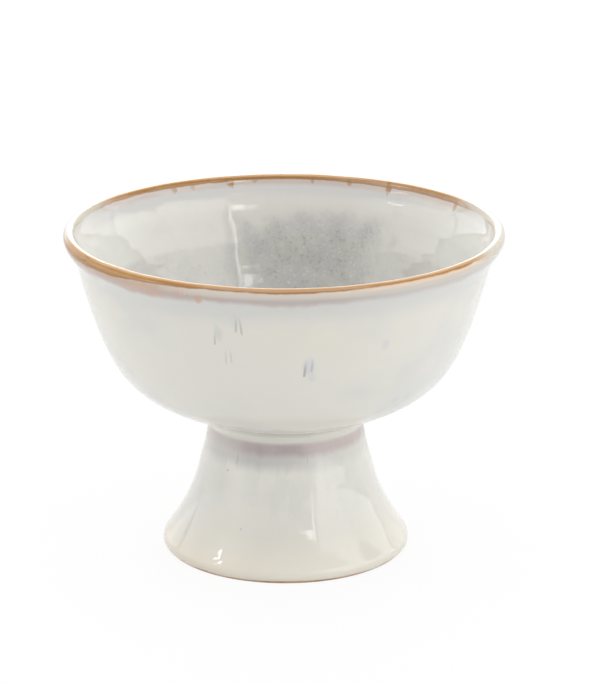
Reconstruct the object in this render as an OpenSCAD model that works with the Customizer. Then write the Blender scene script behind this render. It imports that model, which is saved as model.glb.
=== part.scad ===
// Footed compote bowl. A round stoneware bowl is joined with slip to a hollow flared pedestal, and
// the whole is glazed, with a darker band on the lip and a bare ring of clay to stand on.
// Every piece is turned about the Z axis, and the origin is the middle of the ring it stands on.

/* [Bowl] */
// Overall width across the lip
rim_d = 160; // [130:1:200]
// Height of the bowl from its seat on the joint to the crest of the lip
bowl_h = 69.4; // [55:0.2:90]
// Height of the bowl's glazed floor above its seat
floor_rise = 6.7; // [5:0.1:10]
// Wall, with its glaze, at the lower bend of the bowl
belly_wall = 7.2; // [5:0.1:9]
// Wall, with its glaze, high up the side
side_wall = 5.8; // [4:0.1:7]
// Wall, with its glaze, where the side flares out to the lip
flare_wall = 4.4; // [3.4:0.1:5]

/* [Lip] */
// Width of the rolled lip, from outside to inside
lip_w = 4.4; // [4:0.1:5.4]
// How far the crest of the lip lies in from its widest line
crest_in = 2.5; // [1.8:0.1:2.8]
// Height of the crest above the lip's widest line
crest_rise = 2.3; // [1.5:0.1:3]
// Depth of the lip band inside the bowl, below the crest
band_drop = 2.1; // [1.5:0.1:3]

/* [Pedestal] */
// Height of the pedestal's clay, up to the joint
pedestal_h = 51; // [40:0.5:70]
// Overall width of the flared foot
foot_d = 91.2; // [76:0.2:110]
// Width of the pedestal halfway up its flare
waist_d = 64.8; // [60:0.2:72]
// Width of the pedestal at its neck
neck_d = 57.4; // [50:0.2:59]
// Width of the open throat in the pedestal's clay
throat_d = 46; // [36:0.2:48]
// Pedestal wall, with its glaze, halfway up
waist_wall = 5.6; // [4.6:0.1:6.6]
// Rounding of the foot's outer edge, over the glaze
foot_edge = 4; // [3.2:0.1:4.8]
// Rounding of the foot ring's outer corner
ring_corner = 0.9; // [0.5:0.1:1.5]
// Rounding of the foot ring's inner edge
ring_edge = 1.5; // [0.8:0.1:2]
// Width of the flat, bare ring that the foot stands on
ring_w = 5; // [3.5:0.1:6]
// Height that the glaze inside the pedestal is wiped back to
wipe_h = 3; // [2:0.1:6]

/* [Joint] */
// Thickness of the slip between the bowl's seat and the pedestal
slip_t = 0.8; // [0.4:0.1:1.5]
// How far the pedestal's clay tapers in from the neck to its top edge
taper_in = 0.8; // [0.5:0.1:1.2]
// Gap round the locating boss, filled with slip
boss_gap = 0.6; // [0.3:0.1:1]
// How far the locating boss reaches into the throat
boss_h = 2.4; // [1.5:0.1:4]
// How far the slip bead bulges past the neck
bead_bulge = 1.05; // [0.8:0.05:1.6]
// Height of the bead, from the neck to the crease under the bowl
bead_h = 4.3; // [3.6:0.1:6]
// Rounding of the crease between the bead and the bowl
crease_round = 0.6; // [0.4:0.1:1]

/* [Glaze] */
// Thickness of every coat of glaze
glaze = 0.5; // [0.3:0.05:0.7]

/* [Hidden] */
$fn = 128;

clay_colour = [0.79, 0.62, 0.48];
slip_colour = [0.83, 0.72, 0.60];
cream_colour = [0.86, 0.85, 0.80];
grey_colour = [0.78, 0.79, 0.78];
amber_colour = [0.74, 0.55, 0.36];

// Pieces that a bend is divided into: long for the walls, short for edges and beads
long_steps = 12;
short_steps = 6;

rim_r = rim_d / 2;
neck_r = neck_d / 2;
throat_r = throat_d / 2;
boss_r = throat_r - boss_gap;
seat_r = neck_r - glaze - taper_in;
seat_z = pedestal_h + slip_t;
boss_z = seat_z - boss_h;
rim_z = seat_z + bowl_h;

// Places up the bowl's outside: share of the rim's radius, share of the bowl's height
belly_shares = [0.777, 0.297];
side_shares = [0.91, 0.696];
flare_shares = [0.97, 0.895];
// Height of the pedestal's waist, as a share of its own height
waist_share = 0.588;
// Where the bead starts to bulge and where it is widest, as shares of the bead's height
bead_start_share = 0.26;
bead_widest_share = 0.65;
// How far the bead has come out where it starts to bulge, and come back at the crease
bead_out_share = 0.28;
bead_back_share = 0.4;

// Directions along the outlines, in degrees, turning left from straight outwards
under_slope = 11.5;
belly_slope = 59;
side_slope = 73;
flare_slope = 52.5;
lip_slope = 247;
bead_start_slope = 58;
crease_slope = 120;
neck_slope = 94;
waist_slope = 103.4;
flank_slope = 127;
glaze_edge_slope = 68;
corner_slope = 52;
throat_slope = 273;
// How much further the inside leans out than the outside, high up the side
inner_lean = 5;
upright = 90;
inwards = 180;
about_face = 180;
full_turn = 360;

// A station is [radius, height, direction of travel], with the clay on the left hand.
// Place and direction at share t of the bend from station a to station b, a cubic curve whose arms
// are as long as those of a circular arc of the same turn.
function bend(a, b, t) =
    let (
        arm = norm([b[0] - a[0], b[1] - a[1]]) / (3 * pow(cos((b[2] - a[2]) / 4), 2)),
        p = [a[0], a[1]],
        q = p + arm * [cos(a[2]), sin(a[2])],
        s = [b[0], b[1]],
        w = s - arm * [cos(b[2]), sin(b[2])],
        u = 1 - t,
        place = u * u * u * p + 3 * u * u * t * q + 3 * u * t * t * w + t * t * t * s,
        way = u * u * (q - p) + 2 * u * t * (w - q) + t * t * (s - w)
    )
    [place[0], place[1], atan2(way[1], way[0])];

// The bends through a list of stations, in steps, with the last station closing the run
function run(stations, steps) =
    let (last = len(stations) - 1)
    concat(
        [for (i = [0:last - 1], k = [0:steps - 1]) bend(stations[i], stations[i + 1], k / steps)],
        [stations[last]]
    );

// A run moved to its left, into the clay
function sunk(path, depth) =
    [for (p = path) [p[0] - depth * sin(p[2]), p[1] + depth * cos(p[2])]];
// A station moved to its left, facing back along the other side of the wall
function across(s, depth) =
    [s[0] - depth * sin(s[2]), s[1] + depth * cos(s[2]), s[2] + about_face];
function back(list) = [for (i = [len(list) - 1:-1:0]) list[i]];
// A coat: the outline of a layer that lies between a run and the clay under it
function coat(path) = concat(sunk(path, 0), back(sunk(path, glaze)));
// Two runs end to end, without the place that they share
function chained(first, second) = concat([for (i = [0:len(first) - 2]) first[i]], second);
// A place on a rounded edge, facing the given way
function on_edge(centre, radius, way) =
    [centre[0] + radius * sin(way), centre[1] - radius * cos(way), way];

// Stations up the bowl's glazed outside, over the lip and down to the floor
function bowl_place(shares, slope) = [rim_r * shares[0], seat_z + bowl_h * shares[1], slope];
belly_at = bowl_place(belly_shares, belly_slope);
side_at = bowl_place(side_shares, side_slope);
flare_at = bowl_place(flare_shares, flare_slope);
lip_at = [rim_r, rim_z - crest_rise, upright];
crest_at = [rim_r - crest_in, rim_z, inwards];
shoulder_at = [rim_r - lip_w, rim_z - band_drop, lip_slope];
flare_in_at = across(flare_at, flare_wall);
side_in_at = across(side_at, side_wall) - [0, 0, inner_lean];
belly_in_at = across(belly_at, belly_wall);
floor_at = [0, seat_z + floor_rise, inwards];

// Stations up the pedestal's glazed outside and over the bead, to the crease under the bowl
foot_centre = [foot_d / 2 - foot_edge,
    (foot_edge - glaze) * cos(corner_slope) + ring_corner * (1 - cos(corner_slope))];
corner_centre = [foot_centre[0] + (foot_edge - glaze - ring_corner) * sin(corner_slope), ring_corner];
glaze_edge_at = on_edge(foot_centre, foot_edge, glaze_edge_slope);
flank_at = on_edge(foot_centre, foot_edge, flank_slope);
waist_at = [waist_d / 2, pedestal_h * waist_share, waist_slope];
neck_z = seat_z - bead_h;
neck_at = [neck_r, neck_z, neck_slope];
bead_start_at = [neck_r + bead_bulge * bead_out_share, neck_z + bead_h * bead_start_share,
    bead_start_slope];
bead_at = [neck_r + bead_bulge, neck_z + bead_h * bead_widest_share, upright];
crease_at = [neck_r + bead_bulge * bead_back_share, seat_z, crease_slope];
crease_centre = [crease_at[0] + crease_round * sin(crease_slope),
    crease_at[1] - crease_round * cos(crease_slope)];
under_at = [crease_centre[0] - crease_round * sin(under_slope),
    crease_centre[1] + crease_round * cos(under_slope), under_slope];

// Top of the seat pad's side, in line with the clay under the bowl
under_clay = sunk([under_at], glaze)[0];
pad_top = [seat_r, under_clay[1] - (under_clay[0] - seat_r) * tan(under_slope)];

// Stations over the ceiling of the pedestal's hollow and down its inside, on the glaze
ceiling_z = boss_z - glaze;
throat_in_r = throat_r - glaze;
ceiling_round = boss_h;
ceiling_mid_at = [0, ceiling_z, 0];
ceiling_edge_at = [throat_in_r - ceiling_round, ceiling_z, 0];
throat_at = [throat_in_r, ceiling_z - ceiling_round, throat_slope - full_turn];
waist_in_at = across(waist_at, waist_wall) - [0, 0, full_turn];
ring_centre = [corner_centre[0] - ring_w, ring_edge];
ring_in_at = on_edge(ring_centre, ring_edge + glaze, flank_slope - about_face);

// Runs along those stations
bowl_outside = run([under_at, belly_at, side_at, flare_at, lip_at], long_steps);
lip_over = run([lip_at, crest_at, shoulder_at], short_steps);
bowl_inside = run([shoulder_at, flare_in_at, side_in_at, belly_in_at, floor_at], long_steps);
foot_turn = run([glaze_edge_at, flank_at], short_steps);
flank_up = run([flank_at, waist_at, neck_at], long_steps);
bead_over = run([neck_at, bead_start_at, bead_at, crease_at, under_at], short_steps);
ceiling_turn = run([ceiling_edge_at, throat_at], short_steps);
hollow_down = run([throat_at, waist_in_at, ring_in_at], long_steps);
hollow_coated = [for (p = hollow_down) if (p[1] > wipe_h) p];
// The bare edges of the foot ring, on the clay itself
ring_inner_turn = [for (k = [0:short_steps])
    on_edge(ring_centre, ring_edge, (flank_slope - about_face) * (1 - k / short_steps))];
ring_outer_turn = concat(
    [for (k = [0:short_steps]) on_edge(corner_centre, ring_corner, corner_slope * k / short_steps)],
    [for (k = [1:short_steps]) on_edge(foot_centre, foot_edge - glaze,
        corner_slope + (glaze_edge_slope - corner_slope) * k / short_steps)]
);

module turned(outline) {
    rotate_extrude() polygon(outline);
}

// The thrown bowl: clay under the glaze, with a flat seat and a boss that finds the throat
module bowl_body() {
    color(clay_colour) turned(concat(
        [[0, boss_z], [boss_r, boss_z], [boss_r, seat_z], [seat_r, seat_z], pad_top],
        sunk(chained(chained(bowl_outside, lip_over), bowl_inside), glaze)
    ));
}

// The hollow pedestal: open underneath, with a flat top edge and a bare ring to stand on
module pedestal_body() {
    color(clay_colour) turned(concat(
        [[throat_r, pedestal_h]],
        sunk(hollow_down, glaze),
        [for (i = [1:short_steps]) [ring_inner_turn[i][0], ring_inner_turn[i][1]]],
        [for (i = [0:len(ring_outer_turn) - 2]) [ring_outer_turn[i][0], ring_outer_turn[i][1]]],
        sunk(chained(foot_turn, flank_up), glaze),
        [[seat_r, pedestal_h]]
    ));
}

// The slip that holds them together: a layer on the top edge, a sleeve round the boss and a bead
module joining_slip() {
    color(slip_colour) turned(concat(
        [[boss_r, boss_z], [throat_r, boss_z], [throat_r, pedestal_h], [seat_r, pedestal_h]],
        sunk(bead_over, glaze),
        [pad_top, [seat_r, seat_z], [boss_r, seat_z]]
    ));
}

// The poured coat inside the bowl, from the lip band down to the floor
module bowl_inner_glaze() {
    color(grey_colour) turned(coat(bowl_inside));
}

// The coat on the bowl's outside, from the crease at the joint up to the lip band
module bowl_outer_glaze() {
    color(cream_colour) turned(coat(bowl_outside));
}

// The band over the lip
module rim_glaze() {
    color(amber_colour) turned(coat(lip_over));
}

// The coat on the pedestal's outside and over the bead, stopping short of the ring it stands on
module pedestal_outer_glaze() {
    color(cream_colour) turned(coat(chained(chained(foot_turn, flank_up), bead_over)));
}

// The coat in the pedestal's hollow, across the boss and down to the wiped edge
module pedestal_inner_glaze() {
    color(cream_colour) turned(coat(concat([ceiling_mid_at], chained(ceiling_turn, hollow_coated))));
}

bowl_body();
pedestal_body();
joining_slip();
bowl_inner_glaze();
bowl_outer_glaze();
rim_glaze();
pedestal_outer_glaze();
pedestal_inner_glaze();
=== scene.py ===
import math

import bpy
import numpy as np
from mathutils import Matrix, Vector


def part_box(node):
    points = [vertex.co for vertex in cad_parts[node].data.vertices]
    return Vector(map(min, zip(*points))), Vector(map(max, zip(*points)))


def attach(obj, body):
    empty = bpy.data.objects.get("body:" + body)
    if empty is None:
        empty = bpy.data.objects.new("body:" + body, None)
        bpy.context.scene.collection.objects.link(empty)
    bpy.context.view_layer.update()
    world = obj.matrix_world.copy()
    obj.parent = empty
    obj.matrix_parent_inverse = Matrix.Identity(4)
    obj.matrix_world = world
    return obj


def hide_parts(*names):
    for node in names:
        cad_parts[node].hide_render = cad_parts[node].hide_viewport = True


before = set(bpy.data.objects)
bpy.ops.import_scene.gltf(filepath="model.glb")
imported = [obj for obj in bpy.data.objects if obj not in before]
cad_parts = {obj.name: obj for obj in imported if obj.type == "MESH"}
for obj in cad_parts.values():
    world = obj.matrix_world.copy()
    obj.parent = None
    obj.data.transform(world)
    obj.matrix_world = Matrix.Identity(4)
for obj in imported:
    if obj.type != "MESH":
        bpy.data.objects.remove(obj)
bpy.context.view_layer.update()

mm = 0.001
scene = bpy.context.scene


# Camera: the photograph's, fitted to the ellipses of the lip and the foot

look_down = 17.487

camera_data = bpy.data.cameras.new("camera")
camera_data.lens = 166.97
camera_data.sensor_width = 36
camera = bpy.data.objects.new("camera", camera_data)
camera.location = (0.0051, -1.1087, 0.4267)
camera.rotation_euler = (math.radians(90 - look_down), 0, 0)
scene.collection.objects.link(camera)
scene.camera = camera


# Sizes that the frame gives

lip_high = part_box("rim_glaze")[1]
rim_r = lip_high.x
rim_z = lip_high.z
foot_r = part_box("pedestal_outer_glaze")[1].x
pedestal_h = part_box("pedestal_body")[1].z
boss_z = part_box("bowl_body")[0].z

# The rest of the pot's sizes
glaze = 0.5 * mm
slip = 0.8 * mm
seat_z = pedestal_h + slip
bowl_h = rim_z - seat_z
boss_h = seat_z - boss_z
floor_rise = 6.7 * mm
belly_wall = 7.2 * mm
side_wall = 5.8 * mm
flare_wall = 4.4 * mm
lip_w = 4.4 * mm
crest_in = 2.5 * mm
crest_rise = 2.3 * mm
band_drop = 2.1 * mm
neck_r = 28.7 * mm
waist_r = 32.4 * mm
throat_r = 23 * mm
boss_r = 22.4 * mm
seat_r = neck_r - glaze - 0.8 * mm
waist_wall = 5.6 * mm
foot_edge = 4 * mm
clay_edge = foot_edge - glaze
ring_corner = 0.9 * mm
ring_edge = 1.5 * mm
ring_w = 5 * mm
wipe_z = 3 * mm
bead_h = 4.3 * mm
bead_bulge = 1.05 * mm
crease_round = 0.6 * mm
edge_round = 0.9 * mm

# Headings in degrees along the outline: 0 runs outwards, 90 up and 180 back to the axis
inner_lean = 5
under_slope = 11.5
clay_slope = 52
glaze_slope = 68
flank_slope = 127
ring_slope = -53

# Unevenness: how far apart the finger rings are, how far each kind strays, and where the relief fades
ring_gaps = (7.3 * mm, 4.1 * mm)
ring_depth = 0.012 * mm
hollow_depth = 0.05 * mm
pool_depth = 0.028 * mm
ripple_depth = 0.008 * mm
edge_run = 0.22 * mm
axis_fade = 3 * mm
ground_fade = 2 * mm

# How the fired pot strays from true: the lip dips front and back, the bowl sits off the pedestal's axis
lip_dip = 0.4 * mm
bowl_off = -0.5 * mm

# Steps round the pot and along the outline, and the angle in degrees from which an edge is sharp
around = 560
sharp_from = 50
coarse = 1.0 * mm
fine = 0.6 * mm
tiny = 0.25 * mm


# Outlines

def bend(a, b, count):
    """Rows along a cubic curve from station a to station b, each [radius, height, heading] with the clay
    on the left. The arms are as long as those of a circular arc of the same turn: the chord over three
    times the squared cosine of a quarter of the turn."""
    a, b = np.array(a, float), np.array(b, float)
    arm = np.hypot(*(b[:2] - a[:2])) / (3 * math.cos(math.radians(b[2] - a[2]) / 4) ** 2)
    ahead = [np.array([math.cos(math.radians(w)), math.sin(math.radians(w))]) for w in (a[2], b[2])]
    p, q, w, s = a[:2], a[:2] + arm * ahead[0], b[:2] - arm * ahead[1], b[:2]
    t = np.linspace(0, 1, count, endpoint=False)[:, None]
    u = 1 - t
    place = u**3 * p + 3 * u * u * t * q + 3 * u * t * t * w + t**3 * s
    way = u * u * (q - p) + 2 * u * t * (w - q) + t * t * (s - w)
    return np.column_stack([place, np.arctan2(way[:, 1], way[:, 0])])


def run(stations, step):
    """The bends through a list of stations, about one step apart."""
    parts = []
    for a, b in zip(stations[:-1], stations[1:]):
        parts.append(bend(a, b, max(3, math.ceil(math.hypot(b[0] - a[0], b[1] - a[1]) / step))))
    last = stations[-1]
    return np.vstack(parts + [np.array([[last[0], last[1], math.radians(last[2])]])])


def straight(points, step):
    """Rows along straight stretches through points of radius and height, about one step apart."""
    parts = []
    for a, b in zip(points[:-1], points[1:]):
        a, b = np.array(a, float), np.array(b, float)
        t = np.linspace(0, 1, max(1, math.ceil(np.hypot(*(b - a)) / step)), endpoint=False)[:, None]
        way = np.full(len(t), math.atan2(b[1] - a[1], b[0] - a[0]))
        parts.append(np.column_stack([a + (b - a) * t, way]))
    return np.vstack(parts + [np.array([[*points[-1], parts[-1][-1, 2]]])])


def joined(*runs):
    """Runs end to end, without the rows that they share, and a fourth column: the length so far."""
    rows = np.vstack([r[:-1] for r in runs[:-1]] + [runs[-1]])
    steps = np.hypot(*np.diff(rows[:, :2], axis=0).T)
    return np.column_stack([rows, np.concatenate([[0], np.cumsum(steps)])])


def sunk(rows, depth):
    """Rows moved to their left by a depth: the radius less depth times the heading's sine, the height
    plus depth times its cosine."""
    moved = rows.copy()
    moved[:, 0] = np.maximum(0, moved[:, 0] - depth * np.sin(rows[:, 2]))
    moved[:, 1] += depth * np.cos(rows[:, 2])
    return moved


def thinned(rows, every):
    """Every so many rows, with the last."""
    return rows[np.unique(np.append(np.arange(0, len(rows), every), len(rows) - 1))]


def across(s, depth):
    """A station moved to its left by the wall's depth, facing back along the wall's other side."""
    way = math.radians(s[2])
    return [s[0] - depth * math.sin(way), s[1] + depth * math.cos(way), s[2] + 180]


def on_edge(centre, radius, way):
    """A station on a rounded edge of that centre and radius, facing that way."""
    turn = math.radians(way)
    return [centre[0] + radius * math.sin(turn), centre[1] - radius * math.cos(turn), way]


def bowl_place(radius_share, height_share, slope):
    """A station on the bowl's outside, by its share of the lip's radius and of the bowl's height."""
    return [rim_r * radius_share, seat_z + bowl_h * height_share, slope]


# Stations: radius, height and heading
belly_at = bowl_place(0.777, 0.297, 59)
side_at = bowl_place(0.91, 0.696, 73)
flare_at = bowl_place(0.97, 0.895, 52.5)
lip_at = [rim_r, rim_z - crest_rise, 90]
crest_at = [rim_r - crest_in, rim_z, 180]
shoulder_at = [rim_r - lip_w, rim_z - band_drop, 247]
floor_at = [0, seat_z + floor_rise, 180]
corner_rise = math.cos(math.radians(clay_slope))
corner_out = (clay_edge - ring_corner) * math.sin(math.radians(clay_slope))
foot_centre = [foot_r - foot_edge, clay_edge * corner_rise + ring_corner * (1 - corner_rise)]
corner_centre = [foot_centre[0] + corner_out, ring_corner]
flank_at = on_edge(foot_centre, foot_edge, flank_slope)
waist_at = [waist_r, 0.588 * pedestal_h, 103.4]
neck_z = seat_z - bead_h
neck_at = [neck_r, neck_z, 94]
bead_at = [neck_r + bead_bulge, neck_z + 0.65 * bead_h, 90]
crease_at = [neck_r + 0.4 * bead_bulge, seat_z, 120]
crease_centre = on_edge(crease_at, crease_round, 120)[:2]
under_at = on_edge(crease_centre, -crease_round, under_slope)
throat_at = [throat_r - glaze, boss_z - glaze - boss_h, -87]
waist_in_at = across(waist_at, waist_wall)
waist_in_at[2] -= 360
ring_centre = [corner_centre[0] - ring_w, ring_edge]

# The glazed outside: up the pedestal, over the bead, up the bowl, over the lip and down to the floor
foot_run = run([on_edge(foot_centre, foot_edge, glaze_slope), flank_at], tiny)
flank_run = run([flank_at, waist_at, neck_at], fine)
bead_run = run([neck_at, [neck_r + 0.28 * bead_bulge, neck_z + 0.26 * bead_h, 58], bead_at, crease_at,
                under_at], tiny)
side_run = run([under_at, belly_at, side_at, flare_at, lip_at], fine)
lip_run = run([lip_at, crest_at, shoulder_at], tiny)
side_in_at = across(side_at, side_wall)
side_in_at[2] -= inner_lean
belly_in_at = across(belly_at, belly_wall)
inside_run = run([shoulder_at, across(flare_at, flare_wall), side_in_at, belly_in_at], fine)
floor_run = run([belly_in_at, floor_at], coarse)
outline = joined(foot_run, flank_run, bead_run, side_run, lip_run, inside_run, floor_run)
counts = [len(r) - 1 for r in (foot_run, flank_run, bead_run, side_run, lip_run)]
bead_first = sum(counts[:2])
bowl_first = sum(counts[:3])
lip_first = sum(counts[:4])
inside_first = sum(counts)
pedestal_rows = outline[:bowl_first + 1]
bowl_rows = outline[bowl_first:lip_first + 1]
lip_rows = outline[lip_first:inside_first + 1]
inside_rows = outline[inside_first:]

# The glaze in the pedestal's hollow: over the ceiling and down the throat and flank to the wiped edge
ceiling_z = boss_z - glaze
turn_in = throat_at[0] - boss_h
ceiling_run = straight([[0, ceiling_z], [turn_in, ceiling_z]], coarse)
turn_run = run([[turn_in, ceiling_z, 0], throat_at], tiny * 2)
hollow_run = run([throat_at, waist_in_at, on_edge(ring_centre, ring_edge + glaze, ring_slope)], coarse)
hollow_rows = joined(ceiling_run, turn_run, hollow_run)
hollow_coated = hollow_rows[(hollow_rows[:, 1] > wipe_z) | (hollow_rows[:, 0] < throat_r)]

# The bare clay: the foot's ring, the seats and the boss
ring_inner = np.array([on_edge(ring_centre, ring_edge, w) for w in np.linspace(ring_slope, 0, 14)])
ring_outer = np.array([on_edge(corner_centre, ring_corner, w) for w in np.linspace(0, clay_slope, 10)]
                      + [on_edge(foot_centre, clay_edge, w)
                         for w in np.linspace(clay_slope + 4, glaze_slope, 4)])
for ring_rows in (ring_inner, ring_outer):
    ring_rows[:, 2] = np.radians(ring_rows[:, 2])
pad_clay = sunk(outline[bowl_first:bowl_first + 1], glaze)[0]
pad_top = [seat_r, pad_clay[1] - (pad_clay[0] - seat_r) * math.tan(math.radians(under_slope))]


# Unevenness of the thrown clay and of the glaze

def waves(turn, along, seed, rounds, lengths, count=20):
    """Smooth unevenness that closes round the pot, about 1 at its most: a sum of cosines of a whole
    number of rounds times the turn, plus the distance along the outline over a wave's length."""
    chance = np.random.default_rng(seed)
    total = np.zeros(np.broadcast(turn, along).shape)
    for _ in range(count):
        k = int(chance.integers(rounds[0], rounds[1] + 1)) * int(chance.choice([-1, 1]))
        length = chance.uniform(*lengths) * mm
        total += np.cos(k * turn + 2 * math.pi * along / length + chance.uniform(0, 2 * math.pi))
    return total / math.sqrt(count)


def eased(value, low, high):
    """0 at low, 1 at high and smooth between: three times the squared share less twice its cube."""
    t = np.clip((value - low) / (high - low), 0, 1)
    return t * t * (3 - 2 * t)


def thrown(turn, rows):
    """Unevenness of the clay, in metres outwards: faint finger rings that climb as they go round, over
    slow hollows."""
    along = rows[:, 3:4]
    rings = np.cos(2 * math.pi * along / ring_gaps[0] + turn)
    rings = rings + 0.6 * np.cos(2 * math.pi * along / ring_gaps[1] - turn)
    return ring_depth * rings + hollow_depth * waves(turn, along, 3, (1, 5), (40, 120))


def poured(turn, rows):
    """Unevenness of the glaze's face, in metres outwards: soft pools and runs, calmer inside the bowl."""
    along = rows[:, 3:4]
    lip_end = outline[inside_first, 3]
    calm = 1 - 0.6 * eased(along, lip_end + 2 * mm, lip_end + 14 * mm)
    out = pool_depth * calm * waves(turn, along, 11, (4, 26), (9, 30), 40)
    return out + ripple_depth * waves(turn, along, 12, (20, 90), (12, 40), 40)


def rounded_edge(from_edge):
    """How far the glaze's face sinks towards an edge: full depth less a quarter round."""
    share = np.clip(from_edge / edge_round, 0, 1)
    return -0.93 * glaze * (1 - np.sqrt(1 - (1 - share) ** 2))


def pedestal_face(turn, rows):
    """The pedestal's glaze: half as uneven, and rounded at its lower edge."""
    return 0.5 * poured(turn, rows) + rounded_edge(rows[:, 3:4])


def hollow_face(turn, rows):
    """The glaze in the hollow, rounded at the wiped edge."""
    return poured(turn, rows) + rounded_edge(hollow_coated[-1, 3] - rows[:, 3:4])


def edge_slide(turn, rows):
    """How far the glaze's lower edge has run along the outline, in metres, fading over 3 mm upwards."""
    fade = eased(rows[:, 3:4], 3.2 * mm, 0.2 * mm)
    return edge_run * waves(turn, 0.0, 21, (2, 22), (50, 60), 30) * fade


def strayed(x, y, z):
    """The pot's stray from true: above the neck the bowl sits to one side, and the lip dips towards its
    front and back by the square of the distance, more the higher it is."""
    above = eased(z, neck_z - 4 * mm, seat_z + 2 * mm)
    high = np.clip((z - seat_z) / bowl_h, 0, 1)
    return x + bowl_off * above, y, z - lip_dip * high * (y / rim_r) ** 2


# Turned pieces

def faces(count, poled):
    """The corners and sizes of the faces of so many rings: a quad between each point and the next ones
    round and along. With poles, triangles close both ends to two last points, and otherwise the last
    ring joins the first."""
    k = np.arange(count - 1 if poled else count)[:, None]
    j = np.arange(around)[None, :]
    after, beside = (k + 1) % count, (j + 1) % around
    quads = np.stack([k * around + j, k * around + beside, after * around + beside, after * around + j],
                     axis=-1).reshape(-1, 4)
    corners, sizes = quads.reshape(-1), np.full(len(quads), 4)
    if poled:
        ring, beside = j[0], beside[0]
        first, last, top = count * around, count * around + 1, (count - 1) * around
        caps = np.concatenate([np.stack([np.full(around, first), beside, ring], axis=-1),
                               np.stack([np.full(around, last), top + ring, top + beside], axis=-1)])
        corners = np.concatenate([corners, caps.reshape(-1)])
        sizes = np.concatenate([sizes, np.full(len(caps), 3)])
    return corners, sizes


def turned(name, sheets, finish, node, slides=False):
    """A closed piece turned from sheets, each [rows, relief], where a row at turn t, from the front,
    gives the point (r sin t, -r cos t, z), moved to the right of its heading by the relief, which fades
    towards the axis and the ground. If the first and last rows lie on the axis each becomes one point,
    and otherwise the last row joins the first. The faces are turned over if the volume that they
    enclose, a sixth of the sum of their corners' triple products, comes out negative."""
    turn = np.linspace(-math.pi, math.pi, around, endpoint=False)[None, :]
    grids = []
    for rows, relief in sheets:
        out = thrown(turn, rows) + (relief(turn, rows) if relief else 0)
        out = out * np.clip(rows[:, 0:1] / axis_fade, 0, 1) * np.clip(rows[:, 1:2] / ground_fade, 0, 1)
        ahead = edge_slide(turn, rows) if slides else 0
        radius = rows[:, 0:1] + out * np.sin(rows[:, 2:3]) + ahead * np.cos(rows[:, 2:3])
        height = rows[:, 1:2] - out * np.cos(rows[:, 2:3]) + ahead * np.sin(rows[:, 2:3])
        grids.append(np.stack(strayed(radius * np.sin(turn), -radius * np.cos(turn), height), axis=-1))
    grid = np.concatenate(grids)
    poled = sheets[0][0][0, 0] < 1e-6 and sheets[-1][0][-1, 0] < 1e-6
    if poled:
        ends = [grid[0].mean(axis=0), grid[-1].mean(axis=0)]
        grid = grid[1:-1]
        points = np.vstack([grid.reshape(-1, 3), ends])
    else:
        points = grid.reshape(-1, 3)
    corners, sizes = faces(len(grid), poled)
    starts = np.concatenate([[0], np.cumsum(sizes)[:-1]])
    a, b, c, d = (points[corners[starts + i]] for i in (0, 1, 2, sizes - 1))
    volume = (a * np.cross(b, c)).sum() + (a * np.cross(c, d)).sum()
    mesh = bpy.data.meshes.new(name)
    mesh.vertices.add(len(points))
    mesh.loops.add(len(corners))
    mesh.polygons.add(len(sizes))
    mesh.vertices.foreach_set("co", points.astype(np.float32).reshape(-1))
    mesh.loops.foreach_set("vertex_index", corners.astype(np.int32))
    mesh.polygons.foreach_set("loop_start", starts.astype(np.int32))
    mesh.update(calc_edges=True)
    if volume < 0:
        mesh.flip_normals()
    mesh.polygons.foreach_set("use_smooth", np.ones(len(sizes), bool))
    mesh.set_sharp_from_angle(angle=math.radians(sharp_from))
    piece = bpy.data.objects.new(name, mesh)
    scene.collection.objects.link(piece)
    mesh.materials.append(finish)
    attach(piece, "root")
    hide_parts(node)


# Finishes

class Value:
    """A shader number, vector or colour: wraps a socket, and each operator adds its Math node."""

    def __init__(self, finish, socket):
        self.finish, self.socket = finish, socket

    def maths(self, operation, *inputs):
        return self.finish.node("ShaderNodeMath", {"operation": operation}, dict(enumerate(inputs)))

    def __add__(self, other):
        return self.maths("ADD", self, other)

    def __radd__(self, other):
        return self.maths("ADD", other, self)

    def __sub__(self, other):
        return self.maths("SUBTRACT", self, other)

    def __rsub__(self, other):
        return self.maths("SUBTRACT", other, self)

    def __mul__(self, other):
        return self.maths("MULTIPLY", self, other)

    def __rmul__(self, other):
        return self.maths("MULTIPLY", other, self)

    def __truediv__(self, other):
        return self.maths("DIVIDE", self, other)

    def __neg__(self):
        return self.maths("MULTIPLY", self, -1.0)

    def __pow__(self, other):
        return self.maths("POWER", self, other)

    def __abs__(self):
        return self.maths("ABSOLUTE", self)

    def most(self, other):
        return self.maths("MAXIMUM", self, other)

    def cosine(self):
        return self.maths("COSINE", self)

    def clipped(self):
        """The value kept between 0 and 1."""
        return self.finish.node("ShaderNodeClamp", {}, {"Value": self})

    def rise(self, low, high):
        """0 below low, 1 above high, smooth between."""
        return self.finish.node("ShaderNodeMapRange", {"interpolation_type": "SMOOTHSTEP"},
                                {"Value": self, "From Min": low, "From Max": high})

    def fall(self, low, high):
        """1 below low, 0 above high, smooth between."""
        return 1 - self.rise(low, high)

    def band(self, low, high, soft):
        """1 between low and high, 0 outside, with soft ends."""
        return self.rise(low - soft, low + soft) * self.fall(high - soft, high + soft)


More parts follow.
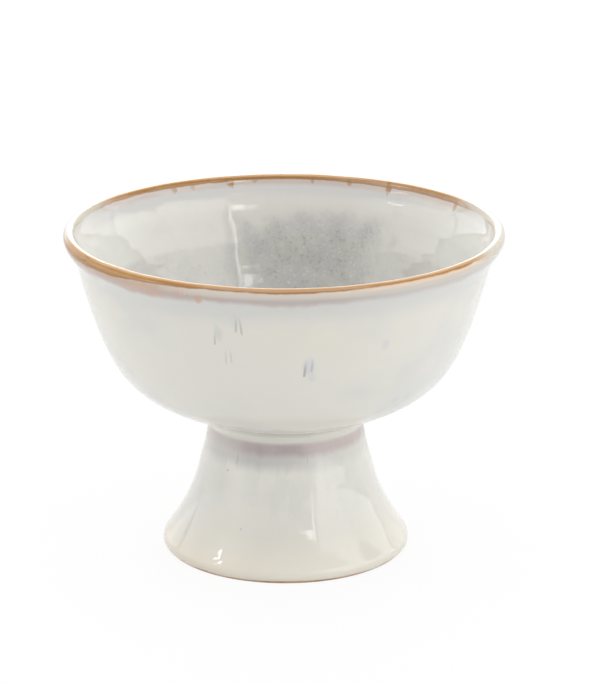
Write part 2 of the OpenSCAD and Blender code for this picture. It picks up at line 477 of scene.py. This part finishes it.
class Finish:
    """The nodes of a material, or of the world."""

    def __init__(self, owner):
        owner.use_nodes = True
        self.owner = owner
        self.nodes, self.links = owner.node_tree.nodes, owner.node_tree.links
        self.nodes.clear()

    def node(self, kind, settings, inputs, output=0):
        """Adds a node, gives it its settings and then its sockets' values or links, by number or name,
        and returns the output asked for."""
        made = self.nodes.new(kind)
        for key, value in settings.items():
            setattr(made, key, value)
        for key, value in inputs.items():
            socket = self.found(made.inputs, key)
            if isinstance(value, Value):
                self.links.new(value.socket, socket)
            else:
                socket.default_value = value
        return Value(self, self.found(made.outputs, output)) if made.outputs else None

    @staticmethod
    def found(sockets, key):
        """The socket of that number, or the enabled one of that name."""
        if isinstance(key, int):
            return sockets[key]
        return next(s for s in sockets if s.name == key and s.enabled)

    def mix(self, a, b, share):
        """Colour a where the share is 0, b where it is 1."""
        inputs = {"Factor": share, "A": a, "B": b}
        return self.node("ShaderNodeMix", {"data_type": "RGBA"}, inputs, "Result")

    def noise(self, place, size, detail=2.0, rough=0.5):
        """Noise with grains of about that size in metres, 0 to 1 with its middle at 0.5."""
        return self.node("ShaderNodeTexNoise", {"noise_dimensions": "3D"},
                         {"Vector": place, "Scale": 0.5 / size, "Detail": detail, "Roughness": rough}, 0)

    def stretched(self, place, *by):
        """A place scaled along each axis."""
        return self.node("ShaderNodeVectorMath", {"operation": "MULTIPLY"}, {0: place, 1: by})

    def moved(self, place, *by):
        """A place moved along each axis."""
        return self.node("ShaderNodeVectorMath", {"operation": "ADD"}, {0: place, 1: by})

    def apart(self, vector):
        """A vector's three numbers."""
        return [self.node("ShaderNodeSeparateXYZ", {}, {0: vector}, axis) for axis in range(3)]

    def surface(self, inputs, bump, strength, depth):
        """The shader itself, with a bump of that depth, and the finished material."""
        normal = self.node("ShaderNodeBump", {}, {"Height": bump, "Strength": strength, "Distance": depth})
        shader = self.node("ShaderNodeBsdfPrincipled", {}, {**inputs, "Normal": normal})
        self.node("ShaderNodeOutputMaterial", {}, {"Surface": shader})
        return self.owner


def shade(red, green, blue):
    """A colour from its screen values, 0 to 255, as the shader's own linear ones."""
    parts = [c / 255 for c in (red, green, blue)]
    return (*[c / 12.92 if c <= 0.04045 else ((c + 0.055) / 1.055) ** 2.4 for c in parts], 1.0)


glaze_ior = 1.56
clay_ior = 1.45

cream = shade(216, 214, 206)
cool_cream = shade(208, 208, 205)
grey_cream = shade(202, 202, 200)
warm_cream = shade(220, 215, 201)
painted_light_cream = shade(233, 231, 223)
side_cream_and_shade = shade(184, 176, 158)
amber = shade(156, 109, 48)
light_amber = shade(172, 130, 74)
dull_amber = shade(184, 156, 130)
dark_amber = shade(142, 102, 72)
pale_peach = shade(203, 191, 177)
bright_peach = shade(214, 182, 150)
rose = shade(181, 170, 165)
brown_pink = shade(190, 166, 152)
rust = shade(198, 160, 136)
neck_mauve = shade(170, 158, 158)
neck_rose = shade(184, 167, 166)
neck_grey = shade(186, 183, 183)
wall_grey = shade(209, 207, 200)
wall_light = shade(218, 219, 213)
wall_lavender = shade(202, 200, 196)
wall_shade = shade(194, 192, 190)
pool_grey = shade(189, 188, 182)
pool_mauve = shade(183, 180, 180)
pool_deep = shade(170, 170, 165)
speck = shade(132, 134, 136)
crystal = shade(212, 212, 206)
drip_grey = shade(166, 167, 162)
smudge_green = shade(198, 204, 196)
smudge_lavender = shade(202, 200, 207)
foot_light = shade(236, 230, 217)
foot_peach = shade(226, 210, 188)
bare_clay = shade(221, 178, 138)
bare_dark = shade(178, 134, 102)
bare_light = shade(230, 204, 180)
bare_grit = shade(150, 112, 86)
slip_tone = shade(202, 186, 164)

# Upright marks in the glaze: degrees to the right of the front at the top and at the bottom, heights of
# both in mm, half width in mm, and how dark
bowl_marks = [(-12.3, -12.7, 110.8, 103.7, 0.50, 0.62), (-11.6, -11.1, 110.8, 102.8, 0.48, 0.6),
              (-18.6, -19.0, 103.4, 98.1, 0.48, 0.6), (-16.0, -16.3, 97.2, 90.8, 0.46, 0.34),
              (-14.8, -14.6, 97.8, 91.4, 0.46, 0.34), (6.5, 6.0, 93.2, 86.2, 0.62, 0.9),
              (8.3, 8.1, 94.4, 88.2, 0.48, 0.62)]
pedestal_marks = [(-34.6, -35.2, 45.2, 38.6, 0.34, 0.8), (-33.2, -34.0, 44.0, 37.6, 0.25, 0.4),
                  (-16.2, -16.0, 47.0, 42.0, 0.25, 0.45), (16.6, 16.4, 44.8, 40.4, 0.28, 0.4),
                  (-45.0, -45.4, 42.0, 36.5, 0.3, 0.3), (36.0, 35.6, 47.5, 42.5, 0.25, 0.3),
                  (-41.8, -41.8, 36.4, 35.4, 0.5, 1.2), (-25.0, -25.0, 17.5, 16.6, 0.32, 0.9)]
rust_marks = [(-26.6, -26.8, 119.8, 117.2, 0.3, 0.75), (-25.2, -25.5, 119.8, 117.5, 0.28, 0.6),
              (-24.4, -24.1, 119.4, 117.0, 0.3, 0.7)]

# Soft blots: degrees, height, half width and half height in mm, and how strong
green_smudges = [(-17.6, 103.2, 1.7, 3.4, 0.7)]
lavender_smudges = [(7.4, 90.6, 2.4, 4.0, 0.75), (8.3, 86.2, 1.6, 2.2, 0.5), (29.5, 96.0, 1.6, 2.4, 0.45),
                    (-13.0, 107.6, 2.4, 3.6, 0.3), (40.0, 70.8, 1.6, 2.0, 0.5), (45.7, 71.4, 1.4, 1.8, 0.5)]
rust_blots = [(-21.6, 116.2, 1.6, 1.7, 0.95), (-19.2, 116.4, 2.4, 0.9, 0.5),
              (-27.5, 117.2, 2.4, 1.2, 0.5), (-33.5, 115.9, 3.4, 1.5, 0.6), (-16.0, 116.8, 2.6, 1.0, 0.3)]
amber_drips = [(-163.9, 118.9, 1.3, 1.6, 0.9), (148.2, 118.8, 1.4, 2.2, 1.0), (161.0, 119.4, 0.9, 1.3, 0.7),
               (-146.0, 119.0, 1.2, 1.6, 0.7), (172.0, 119.5, 0.9, 1.1, 0.6), (122.0, 118.6, 1.4, 1.7, 0.7),
               (-171.0, 119.6, 1.6, 1.0, 0.5), (-152.0, 119.2, 1.0, 1.6, 0.5)]


def places(f):
    """Object place, degrees from the front to the right, radius, and height with the lip's dip undone."""
    place = f.node("ShaderNodeTexCoord", {}, {}, "Object")
    x, y, z = f.apart(place)
    x = x - bowl_off
    turn = x.maths("ARCTAN2", x, -y) * math.degrees(1)
    radius = (x * x + y * y) ** 0.5
    return place, turn, radius, z + ((z - seat_z) / bowl_h).clipped() * (y * y) * (lip_dip / rim_r**2)


def dashes(turn, up, radius, marks, wander):
    """Short upright marks that fade in downwards: the distance from a leaning line, within its ends."""
    total = None
    for first, last, top, bottom, wide, dark in marks:
        share = (top * mm - up) / ((top - bottom) * mm)
        off = (turn - first - (last - first) * share) * math.radians(1) * radius + wander
        along = share.rise(-0.02, 0.7) * share.fall(0.93, 1.04)
        here = (off * off).fall(0, (wide * mm) ** 2) * along * dark
        total = here if total is None else total.most(here)
    return total.clipped()


def blots(turn, up, radius, marks, wander):
    """Soft blots: the squared distance from each middle, in half widths and half heights."""
    total = None
    for degrees, middle, wide, tall, strength in marks:
        aside = (turn - degrees) * radius * (math.radians(1) / (wide * mm)) + wander
        above = (up - middle * mm) / (tall * mm) + wander
        here = (aside * aside + above * above).fall(0, 1.5) * strength
        total = here if total is None else total.most(here)
    return total


def cream_tone(f, place):
    """The cream glaze: warmer and cooler clouds."""
    tone = f.mix(cool_cream, cream, f.noise(place, 24 * mm, 3.0).rise(0.34, 0.54))
    return f.mix(tone, warm_cream, f.noise(f.moved(place, 0.2, 0, 0), 30 * mm, 2.0).rise(0.45, 0.7) * 0.35)


def frayed(f, place):
    """Coarse and fine noise about 0, drawn out downwards, that frays the edges of the bands."""
    ragged = f.noise(f.stretched(place, 1, 1, 0.25), 3.2 * mm, 3.0, 0.6) - 0.5
    small = f.noise(f.stretched(place, 1, 1, 0.3), 0.9 * mm, 2.0, 0.6) - 0.5
    return ragged, small


def outer_tone(f, place, turn, radius, up):
    """The bowl's outside. Below the crest, which is lighter and partly a painted highlight, come a thin
    band of amber with a darker edge, a pale peach band, a rosy one, and cream, with painted light low down
    near the crease. On the left of the front the amber runs on into brown and pink, on its right it ends in
    peach, and at both sides of the pot it gives way to a darker cream whose darkness is painted shade."""
    depth = rim_z - up
    ragged, small = frayed(f, place)
    wander = f.noise(f.stretched(place, 1, 1, 0.1), 8 * mm, 2.0) - 0.5
    patches = f.noise(f.stretched(place, 0.4, 0.4, 1), 2.2 * mm, 3.0, 0.6)
    left = turn.rise(-88, -66) * turn.fall(-36, -20)
    far_left = turn.rise(-84, -72) * turn.fall(-50, -40)
    right = turn.rise(8, 32) * turn.fall(100, 130)
    pot_sides = turn.fall(-92, -72) * turn.rise(-125, -108) + turn.rise(54, 74) * turn.fall(108, 125)
    kept = 1 - pot_sides
    # Painted light: a lighter cream low on the bowl near the crease lifts the shade that falls under the
    # bowl
    tone = f.mix(cream_tone(f, place), painted_light_cream, up.fall(54 * mm, 64 * mm) * 0.8)
    tone = f.mix(tone, grey_cream, depth.fall(7 * mm, 17 * mm) * 0.85)

    # The peach and rosy bands, then brown and pink on the left and peach on the right
    amber_low = 1.15 * mm + 0.55 * mm * left + 1.2 * mm * far_left - 0.2 * mm * right + 1.2 * mm * wander
    amber_low = amber_low + 0.7 * mm * ragged + 0.15 * mm * small
    pink_low = 5.6 * mm + 0.9 * mm * left + 3.4 * mm * wander + 2.0 * mm * ragged + 0.4 * mm * small
    tone = f.mix(tone, pale_peach, depth.fall(2.3 * mm, 3.9 * mm) * 0.85 * (1 - 0.7 * pot_sides))
    rosy = depth.rise(2.3 * mm, 4.2 * mm) * (pink_low - depth).rise(-1.6 * mm, 1.0 * mm)
    tone = f.mix(tone, rose, rosy * (0.95 - 0.4 * right) * (1 - 0.6 * pot_sides))
    below = depth - amber_low
    flush = below.rise(-0.3 * mm, 0.7 * mm) * (pink_low - depth).rise(-0.8 * mm, 1.6 * mm) * left
    tone = f.mix(tone, brown_pink, flush * (0.6 + 0.4 * patches.rise(0.4, 0.6)))
    tone = f.mix(tone, bright_peach, flush * patches.rise(0.52, 0.62) * 0.22)
    tone = f.mix(tone, bright_peach, below.band(0, 0.8 * mm, 0.25 * mm) * right * kept * 0.65)

    # The marks: rust blots and drips, a faint amber run on the far left, green and lavender smudges
    tone = f.mix(tone, rust, blots(turn, up, radius, rust_blots, 2.6 * ragged) * 0.75)
    tone = f.mix(tone, rust, dashes(turn, up, radius, rust_marks, 0.3 * mm * ragged))
    faint = (3.5 * mm + 2 * mm * ragged - depth).rise(-0.6 * mm, 0.6 * mm) * far_left
    tone = f.mix(tone, light_amber, faint * 0.25)
    tone = f.mix(tone, smudge_green, blots(turn, up, radius, green_smudges, 1.5 * ragged))
    tone = f.mix(tone, smudge_lavender, blots(turn, up, radius, lavender_smudges, 1.5 * ragged))

    # The amber band, lighter at its crest (partly painted highlight), darker at its edge; darker cream at
    # the sides
    hue = f.mix(amber, light_amber, (0.6 * left + 0.4 * right + 1.6 * (patches - 0.5)).clipped())
    # Lighter amber at the crest: thin glaze there, and partly a painted highlight of the light from above
    hue = f.mix(hue, light_amber, depth.fall(0.05 * mm, 0.4 * mm) * 0.7)
    tone = f.mix(tone, hue, below.fall(-0.25 * mm, 0.25 * mm) * (1 - 0.92 * pot_sides))
    edge = below.band(-0.35 * mm, 0.15 * mm, 0.25 * mm)
    tone = f.mix(tone, dark_amber, edge * (0.6 - 0.5 * right) * kept)
    # The darker cream at the pot's sides: painted shade that tones down the strong light on the lip's top
    # there
    tone = f.mix(tone, side_cream_and_shade, depth.fall(1.2 * mm, 3.4 * mm) * pot_sides * 0.85)
    runs = f.noise(f.stretched(place, 1, 1, 0.12), 1.6 * mm, 3.0, 0.6) - 0.5
    return f.mix(tone, drip_grey, dashes(turn, up, radius, bowl_marks, 0.5 * mm * runs))


def inner_tone(f, place, turn, radius, up):
    """The bowl's inside: an amber edge with drips, lighter at its crest, partly a painted highlight, and
    giving way at both sides of the pot to a darker cream whose darkness is painted shade; a pale grey wall,
    and pools of darker grey glaze, low down all round and higher at the back, with fine dark specks and
    pale crystals."""
    depth = rim_z - up
    ragged, small = frayed(f, place)
    cloud = f.noise(place, 5 * mm, 4.0, 0.6)
    wide = f.noise(place, 16 * mm, 2.0) - 0.5
    pot_sides = abs(turn).band(72, 116, 10)
    kept = 1 - pot_sides

    # The wall: shaded under the lip at the back, and lighter below it at the front and sides
    wall = f.mix(wall_grey, wall_lavender, depth.fall(3 * mm, 11 * mm) * 0.4)
    wall = f.mix(wall, wall_lavender, cloud.rise(0.5, 0.7) * 0.4)
    back = turn.fall(-125, -95) + turn.rise(132, 146)
    wall = f.mix(wall, wall_shade, depth.fall(5 * mm, 8.5 * mm) * 0.8 * back)
    wall = f.mix(wall, wall_light, abs(turn).fall(110, 136) * depth.rise(5.5 * mm, 10 * mm) * 0.6)

    # The pools, with clusters of specks and crystals in them
    facing = ((turn - 168) * math.radians(1)).cosine()
    high = (facing + 0.2 * wide + 0.12 * (cloud - 0.5)).rise(0.85, 0.95)
    high_pool = high * (depth + 14 * mm * wide + 10 * mm * (cloud - 0.5)).rise(9.5 * mm, 19 * mm) * 0.85
    low_pool = (depth + 4 * mm * wide + 3 * mm * (cloud - 0.5)).rise(22.2 * mm, 24.4 * mm) * 0.42
    floor_pool = depth.rise(40 * mm, 56 * mm) * 0.8
    pool = high_pool.most(low_pool).most(floor_pool)
    tone = f.mix(wall, f.mix(pool_grey, pool_mauve, cloud.rise(0.42, 0.6)), pool)
    clusters = f.noise(place, 3.4 * mm, 3.0, 0.6)
    deeper = 0.32 * clusters.rise(0.48, 0.62) + 0.45 * depth.rise(17 * mm, 27 * mm) * facing.rise(0.7, 0.95)
    tone = f.mix(tone, pool_deep, pool * deeper)
    dark = f.noise(place, 0.7 * mm, 3.0, 0.7).rise(0.52, 0.66)
    tone = f.mix(tone, speck, dark * (pool * 1.3 - 0.3).clipped() * (0.15 + 0.5 * clusters.rise(0.45, 0.6)))
    pale = f.noise(f.moved(place, 0.3, 0, 0), 0.6 * mm, 3.0, 0.7).rise(0.55, 0.68)
    tone = f.mix(tone, crystal, pale * pool * (0.2 + 0.6 * clusters.fall(0.42, 0.55)))

    # The amber band and its drips, lighter at its crest (partly painted highlight), and the sides' darker
    # cream (painted shade)
    amber_low = 1.75 * mm + 0.8 * mm * ragged + 0.2 * mm * small
    amber_low = amber_low + 0.5 * mm * turn.band(112, 155, 12) - 0.25 * mm * abs(turn).rise(160, 176)
    below = depth - amber_low
    tone = f.mix(tone, brown_pink, below.band(-0.2 * mm, 1.8 * mm, 0.8 * mm) * 0.5 * kept)
    dull = 1.2 * wide + 0.6 * ragged + 0.15 + 0.35 * turn.band(105, 165, 10)
    # Lighter amber at the crest: thin glaze there, and partly a painted highlight
    hue = f.mix(f.mix(amber, dull_amber, dull.clipped()), light_amber, depth.fall(0.1 * mm, 0.7 * mm))
    tone = f.mix(tone, hue, below.fall(-0.3 * mm, 0.3 * mm) * (1 - 0.85 * pot_sides))
    tone = f.mix(tone, dark_amber, below.band(-0.45 * mm, 0, 0.3 * mm) * 0.45 * kept)
    # The darker cream at the pot's sides: painted shade that tones down the strong light on the lip there
    tone = f.mix(tone, side_cream_and_shade, depth.fall(0.9 * mm, 2.4 * mm) * pot_sides * 0.85)
    return f.mix(tone, amber, blots(turn, up, radius, amber_drips, 2.2 * small) * 0.8)


def lip_tone(f, place, turn, radius, up):
    """The lip: the outside's colours up to its crest, and the inside's from there on."""
    inwards = (rim_r - crest_in - radius).rise(-0.3 * mm, 0.3 * mm)
    return f.mix(outer_tone(f, place, turn, radius, up), inner_tone(f, place, turn, radius, up), inwards)


def pedestal_tone(f, place, turn, radius, up):
    """The pedestal: cream, warmer towards the foot, with a mauve and rosy band that drips below the
    bead, strongest at the front, and grey glaze below the band."""
    runs = f.noise(f.stretched(place, 1, 1, 0.16), 3 * mm, 3.0, 0.55) - 0.5
    patches = f.noise(f.stretched(place, 1, 1, 0.6), 5 * mm, 3.0, 0.6)
    # Painted light: lighter cream at the front, so that the sides, which the side lights brighten, look no
    # lighter
    tone = f.mix(cream_tone(f, place), painted_light_cream, 0.1 + 0.45 * abs(turn).fall(15, 50))
    tone = f.mix(tone, warm_cream, up.fall(3 * mm, 24 * mm) * 0.5)
    # Paler towards the foot's bottom; the extra at the front is painted light, as above
    tone = f.mix(tone, foot_light, up.fall(4 * mm, 17 * mm) * (0.15 + 0.6 * abs(turn).fall(20, 55)))
    tone = f.mix(tone, cool_cream, up.band(20 * mm, 40 * mm, 6 * mm) * patches.rise(0.4, 0.6) * 0.35)
    left = turn.rise(-110, -70) * turn.fall(-40, 0)
    tone = f.mix(tone, foot_peach, up.fall(2 * mm, 13 * mm) * left * 0.35)

    # The neck's grey and its mauve and rosy band, which end at the bead's cream
    upper = up.fall(46.4 * mm, 49.2 * mm)
    middle = ((turn + 8) * math.radians(1)).cosine().rise(0.88, 1.0)
    grey = (up - 5 * mm * runs).rise(36 * mm, 41 * mm) * upper
    tone = f.mix(tone, neck_grey, grey * (0.35 + 0.3 * turn.band(-70, -20, 12) + 0.35 * middle))
    band = (up - 3.5 * mm * runs).rise(41.6 * mm, 45 * mm) * upper
    tint = f.mix(neck_rose, neck_mauve, (middle + 1.4 * (patches - 0.5)).clipped())
    paler = 0.35 * turn.rise(-140, -110) * turn.fall(-45, -22)
    share = 0.72 + 0.2 * middle - paler + 0.7 * (patches - 0.5)
    tone = f.mix(tone, tint, band * share.clipped())
    tone = f.mix(tone, cream, up.rise(47.4 * mm, 49.4 * mm) * 0.9)
    return f.mix(tone, drip_grey, dashes(turn, up, radius, pedestal_marks, 0.4 * mm * runs) * 0.8)


def hollow_tone(f, place, turn, radius, up):
    """The pedestal's hollow: cream, warmer and thinner towards the wiped edge."""
    return f.mix(cream_tone(f, place), foot_peach, up.fall(3 * mm, 9 * mm) * 0.8)


def glaze_finish(name, tone_of):
    """The fired glaze: glossy, faintly uneven, in the colours of its place on the pot."""
    f = Finish(bpy.data.materials.new(name))
    where = places(f)
    cloud = f.noise(where[0], 5 * mm, 4.0, 0.6)
    height = 0.7 * f.noise(where[0], 2.2 * mm) + 0.3 * f.noise(where[0], 5.5 * mm)
    return f.surface({"Base Color": tone_of(f, *where), "Roughness": 0.03 + 0.03 * cloud, "IOR": glaze_ior},
                     height, 0.5, 0.03 * mm)


def clay_finish():
    """Bare fired clay: warm, dry and gritty."""
    f = Finish(bpy.data.materials.new("bare_stoneware"))
    place = places(f)[0]
    cloud = f.noise(place, 4 * mm, 4.0, 0.6)
    grit = f.noise(place, 0.35 * mm, 3.0, 0.7)
    tone = f.mix(bare_clay, bare_dark, cloud.rise(0.4, 0.7) * 0.6)
    tone = f.mix(tone, bare_grit, grit.rise(0.6, 0.72) * 0.6)
    tone = f.mix(tone, bare_light, grit.fall(0.3, 0.4) * 0.4)
    return f.surface({"Base Color": tone, "Roughness": 0.75 + 0.15 * grit, "IOR": clay_ior},
                     0.6 * grit + 0.4 * cloud, 0.5, 0.15 * mm)


def slip_finish():
    """The slip that joins the two clays: pale, dry and streaked round the pot."""
    f = Finish(bpy.data.materials.new("dried_slip"))
    place = places(f)[0]
    cloud = f.noise(f.stretched(place, 1, 1, 4), 3 * mm, 4.0, 0.6)
    tone = f.mix(slip_tone, bare_clay, cloud.rise(0.4, 0.7) * 0.6)
    return f.surface({"Base Color": tone, "Roughness": 0.8 + 0.1 * cloud, "IOR": clay_ior},
                     cloud, 0.4, 0.1 * mm)


# Pieces

clay = clay_finish()

turned("bowl_clay", [
    [joined(straight([[0, boss_z], [boss_r, boss_z], [boss_r, seat_z], [seat_r, seat_z], pad_top,
                      pad_clay[:2]], 4 * mm)), None],
    [thinned(sunk(outline[bowl_first:], glaze), 3)[1:], None],
], clay, "bowl_body")

turned("pedestal_clay", [
    [thinned(sunk(hollow_rows[len(ceiling_run) + len(turn_run) - 2:], glaze), 3), None],
    [joined(ring_inner)[1:], None],
    [joined(ring_outer), None],
    [thinned(sunk(outline[:bead_first + 1], glaze), 2)[1:], None],
    [joined(straight([[seat_r, pedestal_h], [throat_r, pedestal_h]], 4 * mm)), None],
], clay, "pedestal_body")

turned("joining_slip_layer", [
    [joined(straight([[boss_r, boss_z], [throat_r, boss_z], [throat_r, pedestal_h],
                      [seat_r, pedestal_h]], 4 * mm)), None],
    [thinned(sunk(outline[bead_first:bowl_first + 1], glaze), 2)[:-1], None],
    [joined(straight([pad_top, [seat_r, seat_z], [boss_r, seat_z]], 4 * mm)), None],
], slip_finish(), "joining_slip")

turned("bowl_inner_coat", [
    [thinned(sunk(inside_rows, glaze), 6)[::-1], None],
    [inside_rows, poured],
], glaze_finish("inner_glaze", inner_tone), "bowl_inner_glaze")

turned("bowl_outer_coat", [
    [bowl_rows, poured],
    [thinned(sunk(bowl_rows, glaze), 6)[::-1], None],
], glaze_finish("outer_glaze", outer_tone), "bowl_outer_glaze")

turned("lip_coat", [
    [lip_rows, poured],
    [thinned(sunk(lip_rows, glaze), 4)[::-1], None],
], glaze_finish("lip_glaze", lip_tone), "rim_glaze")

turned("pedestal_outer_coat", [
    [pedestal_rows, pedestal_face],
    [thinned(sunk(pedestal_rows, glaze), 5)[::-1], None],
], glaze_finish("pedestal_glaze", pedestal_tone), "pedestal_outer_glaze", slides=True)

turned("pedestal_hollow_coat", [
    [hollow_coated, hollow_face],
    [thinned(sunk(hollow_coated, glaze), 5)[::-1], None],
], glaze_finish("hollow_glaze", hollow_tone), "pedestal_inner_glaze")


# Floor, world and lamps

floor_w = 8
floor_glow = 0.93
lamp_away = 3.0
bowl_middle = Vector((0, 0, 0.09))


def plain_floor():
    """A wide white floor. Rays from the camera, and those that show it in the glaze, see it nearly white,
    with a faint shadow of the pot."""
    mesh = bpy.data.meshes.new("floor")
    w = floor_w / 2
    mesh.from_pydata([(-w, -w, 0), (w, -w, 0), (w, w, 0), (-w, w, 0)], [], [(0, 1, 2, 3)])
    floor = bpy.data.objects.new("floor", mesh)
    scene.collection.objects.link(floor)
    f = Finish(bpy.data.materials.new("white_floor"))
    seen = sum(f.node("ShaderNodeLightPath", {}, {}, ray)
               for ray in ("Is Camera Ray", "Is Glossy Ray", "Is Transmission Ray")).clipped()
    matt = f.node("ShaderNodeBsdfDiffuse", {}, {"Color": (0.72, 0.72, 0.71, 1)})
    glow = f.node("ShaderNodeEmission", {}, {"Color": (1, 1, 1, 1), "Strength": 1.0})
    both = f.node("ShaderNodeMixShader", {}, {0: seen * floor_glow, 1: matt, 2: glow})
    f.node("ShaderNodeOutputMaterial", {}, {"Surface": both})
    mesh.materials.append(f.owner)


def room():
    """The world: white to the camera, and to the pot a pale tent with a bright top and back, a window and
    soft boxes on both sides. Side is the azimuth from the camera's side, to the right, and rise the
    elevation, both in degrees."""
    world = bpy.data.worlds.new("tent")
    scene.world = world
    f = Finish(world)
    x, y, z = f.apart(f.node("ShaderNodeTexCoord", {}, {}, "Generated"))
    side = x.maths("ARCTAN2", x, -y) * math.degrees(1)
    rise = z.maths("ARCSINE", z) * math.degrees(1)

    def box(left, right, low, high, soft=1.2):
        return side.band(left, right, soft) * rise.band(low, high, soft)

    aside = abs(side)
    top = 2.5 * rise.rise(60, 70)
    back_high = 1.7 * aside.rise(128, 150) * rise.band(32, 58, 4)
    back_middle = 2.4 * aside.rise(163, 169) * rise.band(4, 28, 2)
    back_low = (0.6 + 0.35 * side.fall(-1, 1)) * aside.rise(122, 126) * rise.band(0, 28, 2)
    right_box = 1.4 * side.rise(36, 44) * box(30, 86, 1, 40)
    right_end = 1.3 * box(86, 121, 2, 26)
    left_top = (44 * ((side + 65) * math.radians(1.15)).cosine()).most(29)
    left_box = side.rise(-122, -120) * side.fall(-75, -30) * (left_top - rise).rise(-1.2, 1.2)
    window_bar = 3.4 * box(33.2, 35.2, 5, 36, 0.5) * rise.rise(0, 26)
    window = 4.4 * box(26, 32.5, 28.2, 35, 0.8) + 2.0 * box(18, 26, 28.5, 34, 0.8)
    level = 0.6 + top + back_high + back_middle + back_low + right_box + right_end
    level = level + left_box * rise.rise(-2, 3) + window_bar + window
    seen = f.node("ShaderNodeLightPath", {}, {}, "Is Camera Ray")
    strength = level + seen * (1 - level)
    back = f.node("ShaderNodeBackground", {}, {"Color": (1, 1, 1, 1), "Strength": strength})
    f.node("ShaderNodeOutputWorld", {}, {"Surface": back})


def panel(name, left, right, low, high, level):
    """A flat lamp that fills the given azimuths and elevations, in degrees, as the bowl's middle sees it,
    and shows in the glaze only. Its power is its level times pi times its area."""
    side, rise = math.radians((left + right) / 2), math.radians((low + high) / 2)
    way = Vector((math.sin(side) * math.cos(rise), -math.cos(side) * math.cos(rise), math.sin(rise)))
    data = bpy.data.lights.new(name, "AREA")
    data.shape = "RECTANGLE"
    data.size = 2 * lamp_away * math.tan(math.radians(right - left) / 2) * math.cos(rise)
    data.size_y = 2 * lamp_away * math.tan(math.radians(high - low) / 2)
    data.energy = level * math.pi * data.size * data.size_y
    lamp = bpy.data.objects.new(name, data)
    lamp.location = bowl_middle + way * lamp_away
    lamp.rotation_euler = (-way).to_track_quat("-Z", "Y").to_euler()
    lamp.visible_camera = False
    lamp.visible_diffuse = False
    scene.collection.objects.link(lamp)


plain_floor()
room()
panel("left_lamp", -81.5, -74, 33.6, 34.7, 10.0)
panel("upper_left_lamp", -77.5, -71, 37.2, 38.4, 9.0)
panel("upper_right_lamp", 30, 39, 48.5, 50, 4.0)

scene.view_settings.view_transform = "Standard"
